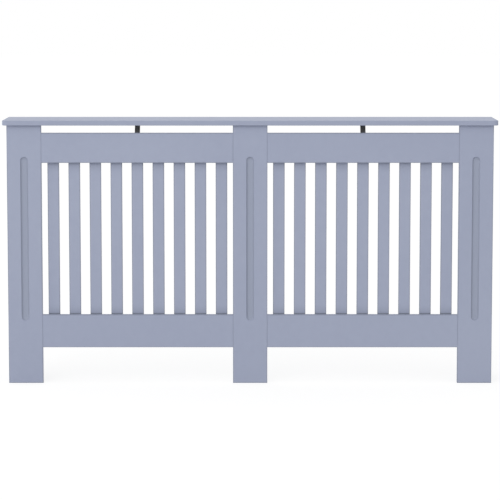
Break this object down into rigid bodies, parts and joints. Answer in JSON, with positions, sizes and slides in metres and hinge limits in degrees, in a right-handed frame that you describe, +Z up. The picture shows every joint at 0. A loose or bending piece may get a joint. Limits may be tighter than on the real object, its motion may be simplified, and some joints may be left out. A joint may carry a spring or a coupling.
{
  "type": "radiator cover cabinet",
  "caption": "Painted board cover that stands over a wall radiator, with fluted front legs, slatted grilles, a shelf with rounded front corners, and an open back and bottom.",
  "frame": {"origin": "on the floor, under the middle of the shelf", "axes": "+X to the right seen from the front, +Y from the front to the wall, +Z up"},
  "size_m": [1.52, 0.19, 0.815],
  "materials": {
    "painted_board": "slate blue-grey paint on fibreboard, satin",
    "black_steel": "black powder coat, low sheen",
    "beech": "bare turned beech",
    "zinc_screw": "bright zinc plate, for the screws in the looks"
  },
  "bodies": {
    "root": {"top_shelf": "painted_board", "left_leg": "painted_board", "centre_leg": "painted_board", "right_leg": "painted_board", "left_side_panel": "painted_board", "right_side_panel": "painted_board", "left_top_rail": "painted_board", "left_bottom_rail": "painted_board", "left_slat_1": "painted_board", "left_slat_2": "painted_board", "left_slat_3": "painted_board", "left_slat_4": "painted_board", "left_slat_5": "painted_board", "left_slat_6": "painted_board", "left_slat_7": "painted_board", "left_slat_8": "painted_board", "left_slat_9": "painted_board", "right_top_rail": "painted_board", "right_bottom_rail": "painted_board", "right_slat_1": "painted_board", "right_slat_2": "painted_board", "right_slat_3": "painted_board", "right_slat_4": "painted_board", "right_slat_5": "painted_board", "right_slat_6": "painted_board", "right_slat_7": "painted_board", "right_slat_8": "painted_board", "right_slat_9": "painted_board", "left_brace": "black_steel", "right_brace": "black_steel", "left_top_outer_plate": "black_steel", "left_top_inner_plate": "black_steel", "left_bottom_outer_plate": "black_steel", "left_bottom_inner_plate": "black_steel", "right_top_outer_plate": "black_steel", "right_top_inner_plate": "black_steel", "right_bottom_outer_plate": "black_steel", "right_bottom_inner_plate": "black_steel", "left_upper_corner_bracket": "black_steel", "left_lower_corner_bracket": "black_steel", "left_wall_bracket": "black_steel", "left_shelf_bracket": "black_steel", "right_upper_corner_bracket": "black_steel", "right_lower_corner_bracket": "black_steel", "right_wall_bracket": "black_steel", "right_shelf_bracket": "black_steel", "centre_shelf_bracket": "black_steel", "left_top_outer_dowel": "beech", "left_top_inner_dowel": "beech", "left_bottom_outer_dowel": "beech", "left_bottom_inner_dowel": "beech", "right_top_outer_dowel": "beech", "right_top_inner_dowel": "beech", "right_bottom_outer_dowel": "beech", "right_bottom_inner_dowel": "beech"}
  },
  "joints": []
}
